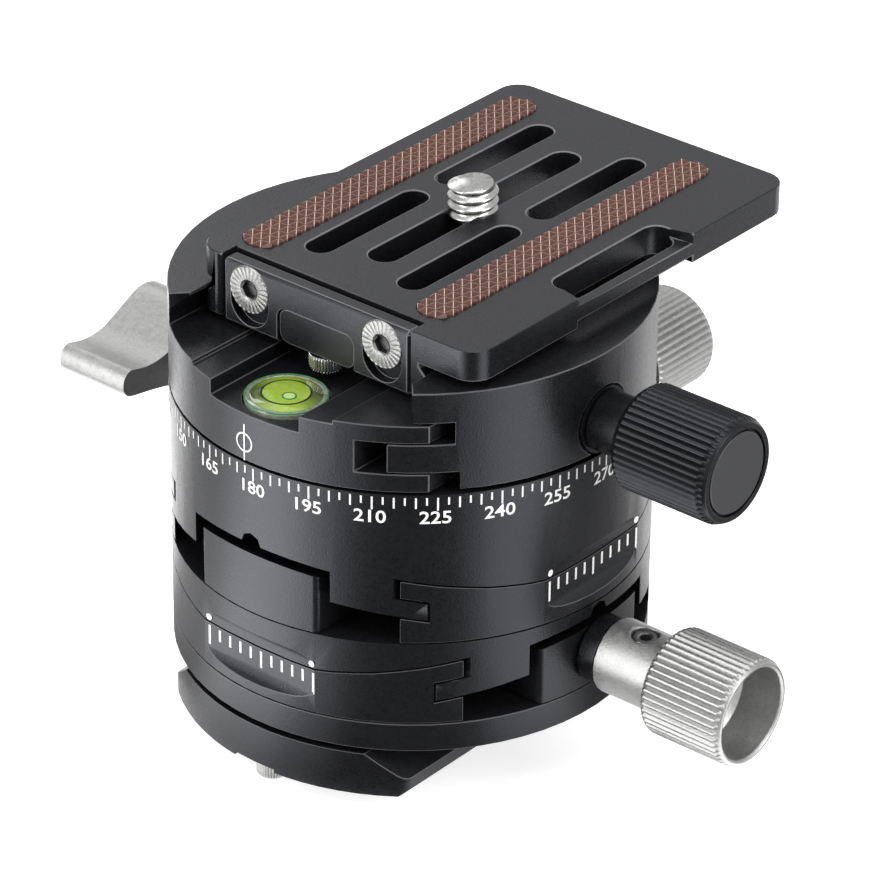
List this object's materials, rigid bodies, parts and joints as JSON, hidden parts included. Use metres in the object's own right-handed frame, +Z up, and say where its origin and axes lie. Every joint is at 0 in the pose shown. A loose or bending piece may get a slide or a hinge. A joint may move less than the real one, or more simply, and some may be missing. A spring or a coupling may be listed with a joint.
{
  "type": "geared tripod head",
  "caption": "Compact geared tripod head: two crossed arc stages driven by worms, a panning platform with a dovetail clamp, and a slotted camera plate.",
  "frame": {"origin": "centre of the foot plate's underside, on the tripod screw's axis", "axes": "+Z up along the pan axis, +X towards the clamp knob and the lower silver knob, +Y along the camera plate towards its overhang and the upper silver knob"},
  "size_m": [0.0989, 0.0836, 0.0677],
  "materials": {
    "black_anodised": "bead-blasted, black anodised",
    "silver_anodised": "bead-blasted, clear anodised",
    "steel": "turned stainless steel",
    "dark_steel": "blackened",
    "brass": "machined",
    "rubber": "matte, moulded pyramids",
    "polymer": "matte",
    "vial": "clear, tinted liquid"
  },
  "bodies": {
    "base": {"foot_plate": "black_anodised", "foot_stop_screw": "steel", "tripod_bushing": "steel", "foot_screw_1": "steel", "foot_screw_2": "steel", "foot_screw_3": "steel", "foot_screw_4": "steel", "base_disc": "black_anodised", "lower_rail_front": "black_anodised", "lower_rail_back": "black_anodised", "lower_worm_housing": "black_anodised", "lower_worm_bush": "dark_steel"},
    "lower_drive": {"lower_worm": "steel", "lower_knob": "silver_anodised", "lower_knob_screw": "dark_steel"},
    "lower_tilt": {"lower_carriage": "black_anodised", "lower_gear_sector": "brass", "upper_rail_right": "black_anodised", "upper_rail_left": "black_anodised", "upper_worm_housing": "black_anodised", "upper_worm_bush": "dark_steel"},
    "upper_drive": {"upper_worm": "steel", "upper_knob": "silver_anodised", "upper_knob_screw": "dark_steel"},
    "upper_tilt": {"pan_base": "black_anodised", "upper_gear_sector": "brass", "spindle_retainer": "steel", "brake_shoe": "polymer", "lever_collar": "black_anodised"},
    "pan_lock": {"pan_lever": "silver_anodised", "lever_stud": "steel"},
    "pan": {"platform": "black_anodised", "pan_spindle": "steel", "clamp_spring": "steel", "level_cup": "dark_steel", "level_vial": "vial"},
    "jaw": {"moving_jaw": "black_anodised", "clamp_washer": "steel"},
    "clamp": {"clamp_knob": "black_anodised", "clamp_knob_cap": "black_anodised", "clamp_rod": "steel"},
    "plate": {"camera_plate": "black_anodised", "rubber_strip_left": "rubber", "rubber_strip_right": "rubber", "plate_stop_screw": "steel", "lip_screw_left": "steel", "lip_screw_right": "steel"},
    "lip": {"anti_twist_lip": "black_anodised"},
    "screw_carrier": {"screw_clip": "steel"},
    "screw": {"camera_screw": "steel"}
  },
  "joints": [
    {"name": "lower_drive_turn", "type": "hinge", "parent": "base", "child": "lower_drive", "pos_m": [0, 0, 0.0153], "axis": [1, 0, 0], "range_deg": [-1350, 1350]},
    {"name": "lower_tilt_turn", "type": "hinge", "parent": "base", "child": "lower_tilt", "pos_m": [0, 0, 0.1124], "axis": [0, 1, 0], "range_deg": [-10, 10]},
    {"name": "upper_drive_turn", "type": "hinge", "parent": "lower_tilt", "child": "upper_drive", "pos_m": [0, 0, 0.02671], "axis": [0, 1, 0], "range_deg": [-1350, 1350]},
    {"name": "upper_tilt_turn", "type": "hinge", "parent": "lower_tilt", "child": "upper_tilt", "pos_m": [0, 0, 0.12381], "axis": [1, 0, 0], "range_deg": [-10, 10]},
    {"name": "pan_lock_turn", "type": "hinge", "parent": "upper_tilt", "child": "pan_lock", "pos_m": [-0.0343, 0, 0.03471], "axis": [1, 0, 0], "range_deg": [0, 24]},
    {"name": "pan_turn", "type": "hinge", "parent": "upper_tilt", "child": "pan", "pos_m": [0, 0, 0.04296], "axis": [0, 0, 1], "continuous": true},
    {"name": "jaw_slide", "type": "slide", "parent": "pan", "child": "jaw", "axis": [1, 0, 0], "range_m": [0, 0.0035]},
    {"name": "clamp_turn", "type": "hinge", "parent": "jaw", "child": "clamp", "pos_m": [0.0365, 0, 0.04716], "axis": [1, 0, 0], "range_deg": [0, 1801]},
    {"name": "plate_slide", "type": "slide", "parent": "pan", "child": "plate", "axis": [0, 1, 0], "range_m": [0, 0.012]},
    {"name": "lip_slide", "type": "slide", "parent": "plate", "child": "lip", "axis": [0, 0, 1], "range_m": [0, 0.0019]},
    {"name": "screw_slide", "type": "slide", "parent": "plate", "child": "screw_carrier", "axis": [0, 1, 0], "range_m": [-0.016, 0.0175]},
    {"name": "screw_turn", "type": "hinge", "parent": "screw_carrier", "child": "screw", "pos_m": [0, 0.0113, 0.05271], "axis": [0, 0, 1], "continuous": true}
  ],
  "couplings": [
    {"joint": "lower_drive_turn", "follows": "lower_tilt_turn", "ratio": 135},
    {"joint": "upper_drive_turn", "follows": "upper_tilt_turn", "ratio": -135},
    {"joint": "clamp_turn", "follows": "jaw_slide", "rad_per_m": 8976}
  ]
}
